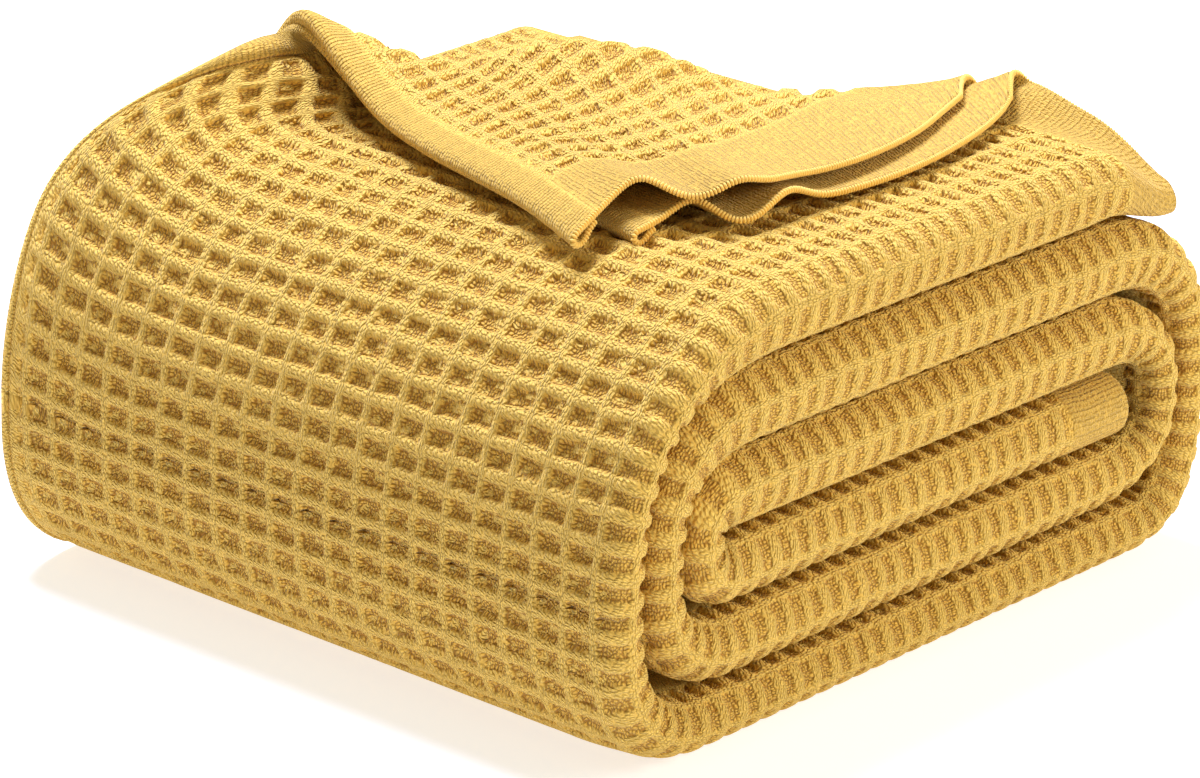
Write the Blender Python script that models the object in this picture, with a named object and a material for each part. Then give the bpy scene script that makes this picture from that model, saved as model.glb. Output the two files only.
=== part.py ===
"""Waffle weave cotton blanket: one sheet of cloth, folded into four across its width,
rolled up flat, with the far corner of its two uppermost layers turned back over the top.

Metres, +Z up, +X along the rolled end, +Y along the axis of the roll. The origin is on the
surface that the blanket lies on, under the middle of its box. The near end (-Y) shows the
folds of the cloth and the far end (+Y) its two side hems and its inner fold.

The cloth is one grid of points: "run" counts along the cloth from the inner end of the roll
to the free end, and "across" goes over the four layers, from the side hem of the outermost
layer round the near fold, the far fold and the inner near fold to the other side hem.
"""

import math

import bmesh
import bpy
import numpy as np

# Cloth
WAFFLE_THICK = 0.0028
HEM_THICK = 0.0020
HEM_LENGTH = 0.030
HEM_BLEND = 0.010  # over which the hem's thickness passes into that of the waffle cloth
COTTON_COLOUR = (0.75, 0.45, 0.10, 1.0)
COTTON_ROUGHNESS = 0.95

# Ends of the roll
NEAR_Y = -0.138
FAR_Y = 0.138
INNER_END_X = 0.106
FREE_END_X = 0.133
SET_BACK = 0.015  # of the second layer's free end behind the first one's
SET_BACK_REACH = 0.10  # over which it gets there from the near fold, where they are one

# Bands of the roll, from the inner end to the free end: each one is all four layers, with
# the height of its middle and its thickness
BANDS = (
    (0.0602, 0.0225),
    (0.0857, 0.0250),
    (0.0355, 0.0222),
    (0.1123, 0.0258),
    (0.0111, 0.0222),
    (0.1397, 0.0255),
)
# Bends between one band and the next: side, x of the middle, height, lower reach, upper
# reach and thickness
BENDS = (
    (-1, -0.1055, 0.0735, 0.015, 0.017, 0.0185),
    (1, 0.1310, 0.0600, 0.034, 0.034, 0.0150),
    (-1, -0.1247, 0.0690, 0.034, 0.048, 0.0172),
    (1, 0.1468, 0.0620, 0.030, 0.048, 0.0150),
    (-1, -0.1430, 0.0610, 0.040, 0.082, 0.0170),
)
SQUARENESS = 2.5  # of a bend's quarters, 2 being an ellipse
NARROWS_FROM = 0.085  # the place from which the top band thins down to its hem
FREE_END_BAND = 0.0118
TOP_BEND_THICKNESSES = (0.0170, 0.0160, 0.0152, 0.0158, 0.0200, 0.0250, 0.0255)
NEAR_RISE = 0.003  # of the lowest band's near fold above the surface
NEAR_RISE_DEEP = 0.035
NEAR_RISE_HIGH = 0.022

# The turned-back corner: plan points of its fold, on the roll and in the cloth laid flat
FOLD_NEAR_FLAT = (0.133, -0.084)
FOLD_FAR_FLAT = (-0.082, FAR_Y)
FOLD_NEAR = (0.122, -0.082)
FOLD_FAR = (-0.062, 0.106)
CORNERS = ((-0.079, -0.078), (-0.096, -0.068))  # first layer's and second layer's tip
# At even steps from the near to the far end of the fold
CURL_RADII = (0.0032, 0.0030, 0.0030, 0.0032, 0.0045, 0.0060, 0.0055, 0.0065, 0.0080)
FOLD_LIFTS = (0.0040, -0.0030, -0.0055, -0.0040, 0.0060, 0.0056, -0.0005, 0.0080, 0.0210)
LIFT_REACHES = (0.013, 0.020, 0.020, 0.020, 0.020, 0.020, 0.024, 0.032, 0.042)
PULL_REACH = 0.024
GATHER_REACH = 0.035  # before the fold, where the second layer comes up to the first
LIE_CLEAR = 0.0010  # extra, under the turned cloth
HEM_CLEAR = 0.0025  # extra, under the second layer's turned hem
LIE_STEP = 0.0042  # between the middles of cloth lying on cloth
SETTLE = 0.040  # length over which the turned cloth comes down from its curl
# Of each layer's turned hem, at even steps from its corner to the fold
BULGE_POWER = 1.5
HEM_BULGES = (
    (0.0, 0.000, 0.020, 0.021, 0.032, 0.034, 0.032, 0.022, 0.0),
    (0.0, -0.006, 0.014, 0.030, 0.031, 0.036, 0.031, 0.014, 0.0),
)
# Place along the hem and height of each wave, for the first layer and for the second
RUFFLES = (((0.14, 0.008), (0.37, 0.0055)), ((0.19, 0.0055), (0.45, 0.0045)))
RUFFLE_WIDTH = 0.06
RUFFLE_REACH = 0.030
HEM_DROP = 0.0145  # of the free end's near corner, which nothing carries
OPEN_DROP = 0.013  # of the two lower layers' far corner, uncovered by the turned one
END_INSET = 0.004  # of the free end's near fold
DROP_START = 0.095  # x
DROP_LENGTH = 0.038
DROP_WIDTH = 0.034  # of the near corner's
OPEN_DROP_FROM = -0.060  # y
OPEN_DROP_WIDTH = 0.080

# Divisions
QUARTER_STEPS = (4, 4, 5, 6, 6)  # of each bend
BAND_STEPS = 2
NEAR_FOLD_STEPS = 6
INNER_FOLD_STEPS = 3
PLAIN_ACROSS = 2
# y of the turned layers' points in from the near fold, closer where the turned fold ends
CORNER_STEPS = ((FAR_Y, 12), (-0.030, 11), (-0.090, 2))
TOP_BEND_STEPS = 6
PLAIN_PLACE = -0.100  # up to here the lines lie straight across the cloth
SLANTING = (0.0, 0.15, 0.34, 0.56, 0.79)  # shares of the way from there to the fold's front
FOLD_FRONT = (-0.045, -0.030, -0.018, -0.008, 0.0)
TURN_STEPS = 4
AFTER_TURN = (0.10, 0.24, 0.40, 0.58, 0.76, 0.90, 1.0)
TOP_LINES = TOP_BEND_STEPS + len(SLANTING) + len(FOLD_FRONT) + TURN_STEPS + len(AFTER_TURN)
SAMPLE_MARGIN = 0.008
LEAST_ROOM = 0.0035
CENTRE_POINTS = 40  # of each quarter bend, before it is divided evenly
PAST_END = 0.1  # length of the top band's middle line that is kept beyond the free end
TANGENT_STEP = 0.002
SURFACE_POINTS = 60


def smooth_step(value):
    value = min(max(value, 0.0), 1.0)
    return value * value * (3.0 - 2.0 * value)


def along(values, where):
    """Value at where (0 to 1) on a smooth line through a row of evenly spaced values."""
    place = min(max(where, 0.0), 1.0) * (len(values) - 1)
    index = min(int(place), len(values) - 2)
    part = place - index
    start, end = values[index], values[index + 1]
    before, after = values[max(index - 1, 0)], values[min(index + 2, len(values) - 1)]
    bend = 2.0 * before - 5.0 * start + 4.0 * end - after
    twist = 3.0 * (start - end) + after - before
    return start + 0.5 * part * (end - before + part * (bend + part * twist))


# ---------------------------------------------------------------- middle line of the roll


def quarter(bend, band_height, lower, to_extreme):
    """Points of a quarter bend, with its band at one end and the bend's extreme at the other."""
    side, middle_x, height, lower_reach, upper_reach, _ = bend
    reach = lower_reach if lower else upper_reach
    power = 2.0 / SQUARENESS
    points = []
    for i in range(CENTRE_POINTS + 1):
        angle = 0.5 * math.pi * i / CENTRE_POINTS
        x = middle_x - side * reach * (1.0 - math.sin(angle) ** power)
        z = band_height + (height - band_height) * (1.0 - max(math.cos(angle), 0.0) ** power)
        points.append((x, z))
    return points if to_extreme else points[::-1]


def lengths(points):
    points = np.array(points)
    return np.r_[0.0, np.cumsum(np.hypot(*np.diff(points, axis=0).T))]


def spaced(points, steps):
    """The points of a polyline at equal steps along it."""
    length = lengths(points)
    wanted = np.linspace(0.0, length[-1], steps + 1)
    x, z = np.array(points).T
    return np.c_[np.interp(wanted, length, x), np.interp(wanted, length, z)]


def roll_stations():
    """(x, z, thickness) of the band's middle, from the inner end to the last bend's extreme."""
    found = []
    start = (INNER_END_X, BANDS[0][0])
    for number, bend in enumerate(BENDS):
        height, thick = BANDS[number]
        next_height, next_thick = BANDS[number + 1]
        rising = next_height > height
        into = quarter(bend, height, rising, True)
        out_of = quarter(bend, next_height, not rising, False)
        for x, z in spaced([start, into[0]], BAND_STEPS)[:-1]:
            found.append((x, z, thick))
        turns = ((into, thick, bend[5]), (out_of, bend[5], next_thick))
        for points, from_thick, to_thick in turns[: 1 if bend is BENDS[-1] else 2]:
            steps = QUARTER_STEPS[number]
            for k, (x, z) in enumerate(spaced(points, steps)[:-1]):
                share = smooth_step(k / steps)
                found.append((x, z, from_thick + (to_thick - from_thick) * share))
        start = out_of[-1]
    return found


def outward(before, after):
    """Unit vector across the band, away from the middle of the roll."""
    dx, dz = after[0] - before[0], after[1] - before[1]
    length = math.hypot(dx, dz)
    return -dz / length, dx / length


# The top band starts at the last bend's extreme. Its places are measured along the cloth, so
# that on the flat part they are the same as x.
LAST_QUARTER = quarter(BENDS[-1], BANDS[-1][0], False, False)
TOP_LINE = np.array(LAST_QUARTER + [(FREE_END_X + PAST_END, BANDS[-1][0])])
TOP_PLACES = lengths(TOP_LINE) - lengths(LAST_QUARTER)[-1] + LAST_QUARTER[-1][0]
TOP_START = TOP_PLACES[0]


def top_thickness(place):
    bent = (place - TOP_START) / (LAST_QUARTER[-1][0] - TOP_START)
    narrow = smooth_step((place - NARROWS_FROM) / (FREE_END_X - NARROWS_FROM))
    full = along(TOP_BEND_THICKNESSES, bent)
    return full + (FREE_END_BAND - full) * narrow


def cloth_thickness(place):
    """Thickness of the cloth at a place along the top band."""
    into = smooth_step((FREE_END_X - HEM_LENGTH + HEM_BLEND - place) / HEM_BLEND)
    return HEM_THICK + (WAFFLE_THICK - HEM_THICK) * into


def top_pitch(place):
    return (top_thickness(place) - cloth_thickness(place)) / 3.0


def top_place(place, offset):
    """(x, z) of a point of the top band at a place along it, offset layers' pitches outward."""
    x, z = (np.interp(place, TOP_PLACES, TOP_LINE[:, k]) for k in (0, 1))
    ahead, behind = place + TANGENT_STEP, max(place - TANGENT_STEP, TOP_START)
    ends = [tuple(np.interp(p, TOP_PLACES, TOP_LINE[:, k]) for k in (0, 1)) for p in (behind, ahead)]
    out = outward(*ends)
    pitch = top_pitch(place)
    return x + out[0] * pitch * offset, z + out[1] * pitch * offset


# ---------------------------------------------------------------- section across the layers


def section(pitch, cloth, near_y, far_ys):
    """(offset, y, layer) of the cloth's middle, over its four layers. The first two have a
    point at each of far_ys, from the far end, and the folds between layers are layer 0."""
    near = near_y + 1.5 * pitch + 0.5 * cloth
    far = FAR_Y - 0.5 * pitch - 0.5 * cloth
    points = [(1.5 * pitch, y, 1) for y in far_ys] + [(1.5 * pitch, near, 1)]
    for i in range(1, NEAR_FOLD_STEPS):
        angle = math.pi * i / NEAR_FOLD_STEPS
        points.append((1.5 * pitch * math.cos(angle), near - 1.5 * pitch * math.sin(angle), 0))
    for y in np.linspace(near, far, PLAIN_ACROSS + 1):
        points.append((-1.5 * pitch, y, 4))
    for i in range(1, INNER_FOLD_STEPS):
        angle = math.pi * i / INNER_FOLD_STEPS
        points.append((-pitch - 0.5 * pitch * math.cos(angle), far + 0.5 * pitch * math.sin(angle), 0))
    for y in np.linspace(far, near, PLAIN_ACROSS + 1):
        points.append((-0.5 * pitch, y, 3))
    for i in range(1, INNER_FOLD_STEPS):
        angle = math.pi * i / INNER_FOLD_STEPS
        points.append((-0.5 * pitch * math.cos(angle), near - 0.5 * pitch * math.sin(angle), 0))
    points.append((0.5 * pitch, near, 2))
    points += [(0.5 * pitch, y, 2) for y in far_ys[::-1]]
    return points


def plain_ys():
    return list(np.linspace(FAR_Y, NEAR_Y + NEAR_RISE_DEEP, PLAIN_ACROSS + 1))


def corner_ys():
    ends = [start for start, _ in CORNER_STEPS[1:]] + [NEAR_Y + NEAR_RISE_DEEP / 2.0]
    found = []
    for (start, steps), end in zip(CORNER_STEPS, ends):
        found += list(np.linspace(start, end, steps + 1)[:-1])
    return found


def fractions(points):
    """Distance over the layers of each point, from 0 to 1, which does not count the pitch."""
    steps = [0.0]
    for before, after in zip(points, points[1:]):
        steps.append(steps[-1] + math.hypot(after[0] - before[0], after[1] - before[1]))
    return [step / steps[-1] for step in steps]


# ---------------------------------------------------------------- top band and turned corner

FLAT_FOLD = np.subtract(FOLD_FAR_FLAT, FOLD_NEAR_FLAT)
FLAT_ALONG = FLAT_FOLD / np.hypot(*FLAT_FOLD)
FLAT_OUT = np.array((FLAT_ALONG[1], -FLAT_ALONG[0]))
FOLD = np.subtract(FOLD_FAR, FOLD_NEAR)
FOLD_OUT = np.array((FOLD[1], -FOLD[0])) / np.hypot(*FOLD)


def flat_place(x, y):
    """(share along the fold, distance past it) of a point of the cloth laid flat."""
    offset = np.array((x, y)) - FOLD_NEAR_FLAT
    return float(offset @ FLAT_ALONG) / np.hypot(*FLAT_FOLD), float(offset @ FLAT_OUT)


def lift_at(plan):
    """Height of the cloth above the plain band in front of the fold."""
    offset = np.subtract(plan, FOLD_NEAR)
    share = float(offset @ FOLD) / float(FOLD @ FOLD)
    before = min(float(offset @ FOLD_OUT), 0.0)
    return along(FOLD_LIFTS, share) * math.exp(-((before / along(LIFT_REACHES, share)) ** 2))


def drop_at(plan):
    """How far the free end sinks at its near corner."""
    near = 1.0 - smooth_step((plan[1] - NEAR_Y) / DROP_WIDTH)
    return HEM_DROP * near * smooth_step((plan[0] - DROP_START) / DROP_LENGTH)


def open_drop_at(plan):
    """How far the two lower layers sink at their far corner."""
    far = smooth_step((plan[1] - OPEN_DROP_FROM) / OPEN_DROP_WIDTH)
    return OPEN_DROP * far * smooth_step((plan[0] - DROP_START) / DROP_LENGTH)


SURFACE_PLACES = np.linspace(TOP_START, FREE_END_X + 0.5 * PAST_END, SURFACE_POINTS)
SURFACE = np.array([top_place(place, 1.5) for place in SURFACE_PLACES])


def rest_height(plan):
    """Middle of the first layer under a plan point."""
    return float(np.interp(plan[0], SURFACE[:, 0], SURFACE[:, 1])) + lift_at(plan) - drop_at(plan)


def fold_base(share):
    """Point of the fold on the roll, at a share of its length."""
    x, y = np.array(FOLD_NEAR) + share * FOLD
    return np.array((x, y, rest_height((x, y))))


def fold_unmoved(share):
    """The same point of the cloth where it would lie on the roll if nothing pulled it."""
    place, y = np.array(FOLD_NEAR_FLAT) + share * FLAT_FOLD
    x, z = top_place(place, 1.5)
    return np.array((x, y, z))


def hem_place(layer, y):
    """Place along the top band of a layer's free end."""
    back = smooth_step((y - NEAR_Y) / SET_BACK_REACH)
    return FREE_END_X - SET_BACK * back * (layer - 1)


def fold_crossing(y):
    """Place along the top band at which the fold crosses the line at y."""
    return FOLD_NEAR_FLAT[0] + (y - FOLD_NEAR_FLAT[1]) * FLAT_FOLD[0] / FLAT_FOLD[1]


def ruffle(layer, hem_share, from_hem):
    """Height of the hem's waves: the second layer also rides over those of the first."""
    height = 0.0
    for waves in RUFFLES[:layer]:
        for place, rise in waves:
            height += rise * math.exp(-(((hem_share - place) / RUFFLE_WIDTH) ** 2))
    return height * math.exp(-from_hem / RUFFLE_REACH)


def turned_direction(layer):
    """Way that the turned cloth takes over the roll, for each metre of cloth past its curl."""
    share, past = flat_place(hem_place(layer, FAR_Y), FAR_Y)
    room = past - math.pi * along(CURL_RADII, share)
    return (np.array(CORNERS[layer - 1]) - fold_base(share)[:2]) / room


TURNED_DIRECTIONS = (turned_direction(1), turned_direction(2))


def before_fold(layer, place, y, share, past):
    x, z = top_place(place, 1.5 if layer == 1 else 0.5)
    pull = fold_base(share) - fold_unmoved(share)
    reaches = (PULL_REACH, along(LIFT_REACHES, share), GATHER_REACH)
    plan_fade, rise_fade, gather = (math.exp(-((past / reach) ** 2)) for reach in reaches)
    z += pull[2] * rise_fade - drop_at((x, y)) * (1.0 - rise_fade)
    if layer == 2:
        z += (top_pitch(place) - LIE_STEP) * gather
    return x + pull[0] * plan_fade, y + pull[1] * plan_fade, z


def past_fold(layer, place, y, share, past):
    radius = along(CURL_RADII, share)
    turn = min(past / radius, math.pi)
    own_radius = radius + LIE_STEP * (layer - 1)
    base = fold_base(share)
    plan = base[:2] + FOLD_OUT * own_radius * math.sin(turn)
    if turn < math.pi:
        return plan[0], plan[1], base[2] + radius - own_radius * math.cos(turn)
    on = past - math.pi * radius
    plan = plan + TURNED_DIRECTIONS[layer - 1] * on
    hem_share = (FAR_Y - y) / (FAR_Y - FOLD_NEAR_FLAT[1])
    hem = hem_place(layer, y)
    laid_from = place - on / FLAT_OUT[0]
    to_hem = min(max((place - laid_from) / max(hem - laid_from, LEAST_ROOM), 0.0), 1.0)
    plan -= FOLD_OUT * along(HEM_BULGES[layer - 1], hem_share) * to_hem**BULGE_POWER
    lying = LIE_STEP * layer + LIE_CLEAR + HEM_CLEAR * to_hem * (layer - 1)
    curled = radius + own_radius
    height = rest_height(plan) + lying + (curled - lying) * math.exp(-((on / SETTLE) ** 2))
    return plan[0], plan[1], height + ruffle(layer, hem_share, max(hem - place, 0.0))


def corner_point(layer, place, y):
    """Place on the roll of a point of the first or second layer of the top band."""
    share, past = flat_place(place, y)
    find = before_fold if past <= 0.0 else past_fold
    return find(layer, place, y, share, past)


def sample_place(line, y, layer=1):
    """Place along the top band of one of its division lines, at y: they follow the fold."""
    if line < TOP_BEND_STEPS:
        return TOP_START + (PLAIN_PLACE - TOP_START) * line / TOP_BEND_STEPS
    line -= TOP_BEND_STEPS
    hem = hem_place(layer, y)
    ahead = (hem - fold_crossing(y)) * FLAT_OUT[0]
    room = SAMPLE_MARGIN * math.log1p(math.exp(ahead / SAMPLE_MARGIN))
    room += LEAST_ROOM * smooth_step(0.5 - ahead / (4.0 * SAMPLE_MARGIN))
    crossing = hem - room / FLAT_OUT[0]
    front = min(1.0, (crossing - PLAIN_PLACE) * FLAT_OUT[0] / (-2.0 * FOLD_FRONT[0]))
    first = crossing + FOLD_FRONT[0] * front / FLAT_OUT[0]
    if line < len(SLANTING):
        return PLAIN_PLACE + (first - PLAIN_PLACE) * SLANTING[line]
    line -= len(SLANTING)
    if line < len(FOLD_FRONT):
        return crossing + FOLD_FRONT[line] * front / FLAT_OUT[0]
    line -= len(FOLD_FRONT) - 1
    share = (y - FOLD_NEAR_FLAT[1]) / FLAT_FOLD[1]
    turn = min(math.pi * along(CURL_RADII, share), 0.5 * room)
    if line <= TURN_STEPS:
        past = turn * line / TURN_STEPS
    else:
        past = turn + (room - turn) * AFTER_TURN[line - TURN_STEPS - 1]
    return crossing + past / FLAT_OUT[0]


# ---------------------------------------------------------------- the sheet


def roll_rows():
    found = roll_stations()
    first_top = (TOP_LINE[1][0], TOP_LINE[1][1])
    rows = []
    for index, (x, z, thick) in enumerate(found):
        cloth = HEM_THICK if index == 0 else WAFFLE_THICK
        before = found[max(index - 1, 0)]
        after = found[index + 1] if index + 1 < len(found) else first_top
        out = outward(before, after)
        points = section((thick - cloth) / 3.0, cloth, NEAR_Y, plain_ys())
        places = [(x + out[0] * o, y, z + out[1] * o) for o, y, _ in points]
        rows.append((places, fractions(points), [cloth] * len(points)))
    return rows


def top_rows():
    rows = []
    for line in range(TOP_LINES):
        near_place = sample_place(line, NEAR_Y)
        near_cloth = cloth_thickness(near_place)
        pitch = top_pitch(near_place)
        near_y = NEAR_Y + END_INSET * smooth_step((near_place - DROP_START) / DROP_LENGTH)
        points = section(pitch, near_cloth, near_y, corner_ys())
        places, cloths = [], []
        for offset, y, layer in points:
            if layer in (1, 2):
                place = sample_place(line, y, layer)
                places.append(corner_point(layer, place, y))
                cloths.append(cloth_thickness(place))
            else:
                x, z = top_place(near_place, offset / pitch)
                places.append((x, y, z - drop_at((x, y)) - open_drop_at((x, y))))
                cloths.append(near_cloth)
        rows.append((places, fractions(points), cloths))
    return rows


def cloth_rows():
    """Rows of (points, places across, thicknesses) from the inner end to the free end."""
    return roll_rows() + top_rows()


def joined(rows):
    """Triangles between rows that may have different numbers of points."""
    start = np.r_[0, np.cumsum([len(places) for places, _, _ in rows])]
    triangles = []
    for number in range(len(rows) - 1):
        lower, upper = rows[number][1], rows[number + 1][1]
        i = j = 0
        while i < len(lower) - 1 or j < len(upper) - 1:
            move_lower = j == len(upper) - 1 or (
                i < len(lower) - 1 and lower[i + 1] + lower[i] <= upper[j + 1] + upper[j]
            )
            a, b = start[number] + i, start[number + 1] + j
            if move_lower:
                triangles.append((a, b, a + 1))
                i += 1
            else:
                triangles.append((a, b, b + 1))
                j += 1
    return triangles


def thickened(rows):
    """Closed mesh: the sheet's two faces, half its thickness either way, and its edges."""
    points = np.array([p for places, _, _ in rows for p in places])
    half = np.array([0.5 * cloth for _, _, cloths in rows for cloth in cloths])
    faces = np.array(joined(rows))
    corners = points[faces]
    face_normals = np.cross(corners[:, 1] - corners[:, 0], corners[:, 2] - corners[:, 0])
    normals = np.zeros_like(points)
    for k in range(3):
        np.add.at(normals, faces[:, k], face_normals)
    normals /= np.linalg.norm(normals, axis=1)[:, None]
    count = len(points)
    vertices = np.r_[points + normals * half[:, None], points - normals * half[:, None]]
    edges = {}
    for a, b, c in faces:
        for edge in ((a, b), (b, c), (c, a)):
            edges[edge] = True
    triangles = [tuple(face) for face in faces]
    triangles += [(c + count, b + count, a + count) for a, b, c in faces]
    for a, b in edges:
        if (b, a) not in edges:
            triangles += [(b, a, a + count), (b, a + count, b + count)]
    return vertices, triangles


def settled(vertices):
    """The vertices centred in x and resting on the surface, the near fold a little above it."""
    vertices = vertices.copy()
    vertices[:, 0] -= 0.5 * (vertices[:, 0].min() + vertices[:, 0].max())
    for vertex in vertices:
        deep = smooth_step((vertex[1] - NEAR_Y) / NEAR_RISE_DEEP)
        high = smooth_step(vertex[2] / NEAR_RISE_HIGH)
        vertex[2] = max(vertex[2], 0.0) + NEAR_RISE * (1.0 - deep) * (1.0 - high)
    return vertices


def cotton():
    material = bpy.data.materials.new("mustard_cotton")
    material.use_nodes = True
    shader = material.node_tree.nodes["Principled BSDF"]
    shader.inputs["Base Color"].default_value = COTTON_COLOUR
    shader.inputs["Roughness"].default_value = COTTON_ROUGHNESS
    shader.inputs["Metallic"].default_value = 0.0
    return material


def blanket():
    vertices, triangles = thickened(cloth_rows())
    mesh = bpy.data.meshes.new("blanket")
    mesh.from_pydata(settled(vertices).tolist(), [], [tuple(int(i) for i in t) for t in triangles])
    solid = bmesh.new()
    solid.from_mesh(mesh)
    bmesh.ops.recalc_face_normals(solid, faces=solid.faces)
    solid.to_mesh(mesh)
    solid.free()
    mesh.materials.append(cotton())
    mesh.shade_smooth()
    obj = bpy.data.objects.new("blanket", mesh)
    bpy.context.scene.collection.objects.link(obj)
    return obj


for old in list(bpy.data.objects):
    bpy.data.objects.remove(old, do_unlink=True)
blanket()
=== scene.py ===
"""Looks of the waffle weave cotton blanket: one sheet of cloth, folded into four across its
width and rolled up flat, with the far corner of its two uppermost layers turned back.

"Run" counts along the cloth from the inner end of the roll, and "across" over its width.
"""

import math

import bpy
import mathutils
import numpy as np
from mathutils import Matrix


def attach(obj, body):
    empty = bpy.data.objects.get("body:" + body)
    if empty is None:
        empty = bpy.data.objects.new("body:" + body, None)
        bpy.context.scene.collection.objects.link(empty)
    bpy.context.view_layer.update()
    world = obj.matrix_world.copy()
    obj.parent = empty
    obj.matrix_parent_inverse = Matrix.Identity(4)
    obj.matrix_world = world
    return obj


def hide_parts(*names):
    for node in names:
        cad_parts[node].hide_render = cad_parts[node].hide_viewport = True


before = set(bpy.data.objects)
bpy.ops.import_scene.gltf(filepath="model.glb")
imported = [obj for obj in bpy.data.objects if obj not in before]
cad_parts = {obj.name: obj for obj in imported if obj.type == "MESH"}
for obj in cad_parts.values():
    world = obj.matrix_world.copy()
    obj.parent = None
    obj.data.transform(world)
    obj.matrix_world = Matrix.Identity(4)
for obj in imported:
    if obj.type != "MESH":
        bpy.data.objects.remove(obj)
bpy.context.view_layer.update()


# ---------------------------------------------------------------- studio
# A long lens looks down on the corner between the blanket's side and its folded end. The pale
# floor glows a little, under a soft cool light from above and a white one before the end.

CAMERA_PLACE = (-1.3618, -1.2010, 0.7547)
CAMERA_HEADING = math.radians(48.44)
CAMERA_DOWN = math.radians(20.93)
CAMERA_ROLL = math.radians(0.805)
CAMERA_LENS = 172.76  # mm, like the sensor's width
CAMERA_SENSOR = 36.0
CAMERA_SEES_TO = 50.0
FLOOR_SIZE = 6.0
FLOOR_LOOK = {
    "Base Color": (0.58, 0.60, 0.63, 1.0),
    "Roughness": 0.9,
    "Emission Color": (1.0, 1.0, 1.0, 1.0),
    "Emission Strength": 0.65,
}
WORLD_COLOUR = (1.0, 0.88, 0.62, 1.0)
WORLD_STRENGTH = 0.40
KEY_LIGHT = ((0.14, 0.55, 1.6), 0.6, 41.0, (1.05, 1.17, 1.60))  # place, width, watts, colour
END_LIGHT = ((0.8, -1.7, 0.9), 0.8, 24.0, (1.0, 1.0, 1.0))


def camera_matrix():
    level = math.cos(CAMERA_DOWN)
    back = mathutils.Vector(
        (-math.sin(CAMERA_HEADING) * level, -math.cos(CAMERA_HEADING) * level, math.sin(CAMERA_DOWN))
    )
    right = (-back).cross(mathutils.Vector((0, 0, 1))).normalized()
    up = right.cross(-back)
    turned_right = right * math.cos(CAMERA_ROLL) + up * math.sin(CAMERA_ROLL)
    turned_up = up * math.cos(CAMERA_ROLL) - right * math.sin(CAMERA_ROLL)
    matrix = mathutils.Matrix((turned_right, turned_up, back)).transposed().to_4x4()
    matrix.translation = CAMERA_PLACE
    return matrix


def area_light(name, place, width, watts, colour):
    lamp = bpy.data.lights.new(name, "AREA")
    lamp.size = width
    lamp.energy = watts
    lamp.color = colour
    light = bpy.data.objects.new(name, lamp)
    light.location = place
    light.rotation_euler = (-mathutils.Vector(place)).to_track_quat("-Z", "Y").to_euler()
    bpy.context.scene.collection.objects.link(light)


def new_object(name, vertices, edges=(), faces=(), **carried):
    """A mesh object whose vertices carry these arrays of values as attributes."""
    mesh = bpy.data.meshes.new(name)
    mesh.from_pydata(vertices, edges, faces)
    for key, values in carried.items():
        vector = values.shape[1] == 3
        slot = mesh.attributes.new(key, "FLOAT_VECTOR" if vector else "FLOAT", "POINT")
        slot.data.foreach_set("vector" if vector else "value", values.ravel())
    obj = bpy.data.objects.new(name, mesh)
    bpy.context.scene.collection.objects.link(obj)
    return obj


def new_material(name, look):
    """A material whose shader has its sockets set to the values in look, by name."""
    material = bpy.data.materials.new(name)
    material.use_nodes = True
    for socket, value in look.items():
        material.node_tree.nodes["Principled BSDF"].inputs[socket].default_value = value
    return material


scene = bpy.context.scene
camera = bpy.data.objects.new("camera", bpy.data.cameras.new("camera"))
camera.data.sensor_width = CAMERA_SENSOR
camera.data.lens = CAMERA_LENS
camera.data.clip_end = CAMERA_SEES_TO
camera.matrix_world = camera_matrix()
scene.collection.objects.link(camera)
scene.camera = camera
scene.view_settings.view_transform = "Standard"

area_light("key_light", *KEY_LIGHT)
area_light("end_light", *END_LIGHT)
world = bpy.data.worlds.new("studio")
world.use_nodes = True
backdrop = world.node_tree.nodes["Background"]
backdrop.inputs["Color"].default_value = WORLD_COLOUR
backdrop.inputs["Strength"].default_value = WORLD_STRENGTH
scene.world = world

half_floor = 0.5 * FLOOR_SIZE
corners = [(x * half_floor, y * half_floor, 0.0) for x, y in ((-1, -1), (1, -1), (1, 1), (-1, 1))]
floor = new_object("floor", corners, faces=[(0, 1, 2, 3)])
floor.data.materials.append(new_material("floor_paint", FLOOR_LOOK))


# ---------------------------------------------------------------- cotton
# Mustard yellow cotton in a honeycomb weave: soft yarns about a millimetre thick float along
# the ridges round each pit and cross one another on its floor. The hems are plain weave.

# The cotton's colour carries painted shade: it is darker on the floors of the pits and between the
# yarns.
CELL_RUN = 0.0091
CELL_ACROSS = 0.0127
WANDER = 0.0035  # of the ridges to either side
WANDER_SCALE = 70.0
WANDER_SEED = 7.0
# How a bend brings the ridges that run across it nearer, and moves the others apart
ACROSS_RIDGE_IN_BEND = 0.10
ALONG_RIDGE_IN_BEND = -0.06
# Where a ridge's foot begins and ends, from 0 in the middle of the pit to 1 on the ridge
ACROSS_RIDGE_FOOT = (0.50, 0.66)
ALONG_RIDGE_FOOT = (0.65, 0.80)
PIT_PALES_IN_BEND = 0.1
YARN = 0.00105
YARN_WANDER = 0.8 * YARN
YARN_WANDER_SCALE = 420.0
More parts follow.
